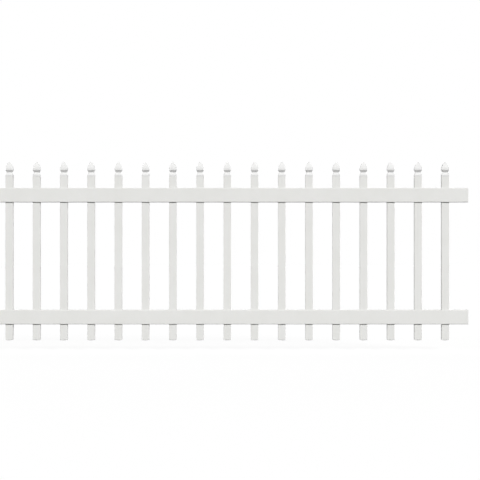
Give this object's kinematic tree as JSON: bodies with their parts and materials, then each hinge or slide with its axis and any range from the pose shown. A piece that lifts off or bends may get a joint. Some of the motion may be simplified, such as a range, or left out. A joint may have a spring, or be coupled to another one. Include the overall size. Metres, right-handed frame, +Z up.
{
  "type": "picket fence panel",
  "caption": "White vinyl picket fence panel: hollow square pickets with gothic caps pass through two hollow rails, whose ends fit into fence posts.",
  "frame": {"origin": "middle of the bottom rail's left end, on its end face", "axes": "+X along the rails to the right end as seen from the front, -Y the front, +Z up"},
  "size_m": [2.466, 0.0508, 0.9153],
  "materials": {
    "extruded_vinyl": "satin",
    "moulded_vinyl": "satin"
  },
  "bodies": {
    "root": {"bottom_rail": "extruded_vinyl", "top_rail": "extruded_vinyl", "picket_01": "extruded_vinyl", "picket_02": "extruded_vinyl", "picket_03": "extruded_vinyl", "picket_04": "extruded_vinyl", "picket_05": "extruded_vinyl", "picket_06": "extruded_vinyl", "picket_07": "extruded_vinyl", "picket_08": "extruded_vinyl", "picket_09": "extruded_vinyl", "picket_10": "extruded_vinyl", "picket_11": "extruded_vinyl", "picket_12": "extruded_vinyl", "picket_13": "extruded_vinyl", "picket_14": "extruded_vinyl", "picket_15": "extruded_vinyl", "picket_16": "extruded_vinyl", "picket_17": "extruded_vinyl", "picket_cap_01": "moulded_vinyl", "picket_cap_02": "moulded_vinyl", "picket_cap_03": "moulded_vinyl", "picket_cap_04": "moulded_vinyl", "picket_cap_05": "moulded_vinyl", "picket_cap_06": "moulded_vinyl", "picket_cap_07": "moulded_vinyl", "picket_cap_08": "moulded_vinyl", "picket_cap_09": "moulded_vinyl", "picket_cap_10": "moulded_vinyl", "picket_cap_11": "moulded_vinyl", "picket_cap_12": "moulded_vinyl", "picket_cap_13": "moulded_vinyl", "picket_cap_14": "moulded_vinyl", "picket_cap_15": "moulded_vinyl", "picket_cap_16": "moulded_vinyl", "picket_cap_17": "moulded_vinyl", "picket_plug_01": "moulded_vinyl", "picket_plug_02": "moulded_vinyl", "picket_plug_03": "moulded_vinyl", "picket_plug_04": "moulded_vinyl", "picket_plug_05": "moulded_vinyl", "picket_plug_06": "moulded_vinyl", "picket_plug_07": "moulded_vinyl", "picket_plug_08": "moulded_vinyl", "picket_plug_09": "moulded_vinyl", "picket_plug_10": "moulded_vinyl", "picket_plug_11": "moulded_vinyl", "picket_plug_12": "moulded_vinyl", "picket_plug_13": "moulded_vinyl", "picket_plug_14": "moulded_vinyl", "picket_plug_15": "moulded_vinyl", "picket_plug_16": "moulded_vinyl", "picket_plug_17": "moulded_vinyl"}
  },
  "joints": []
}
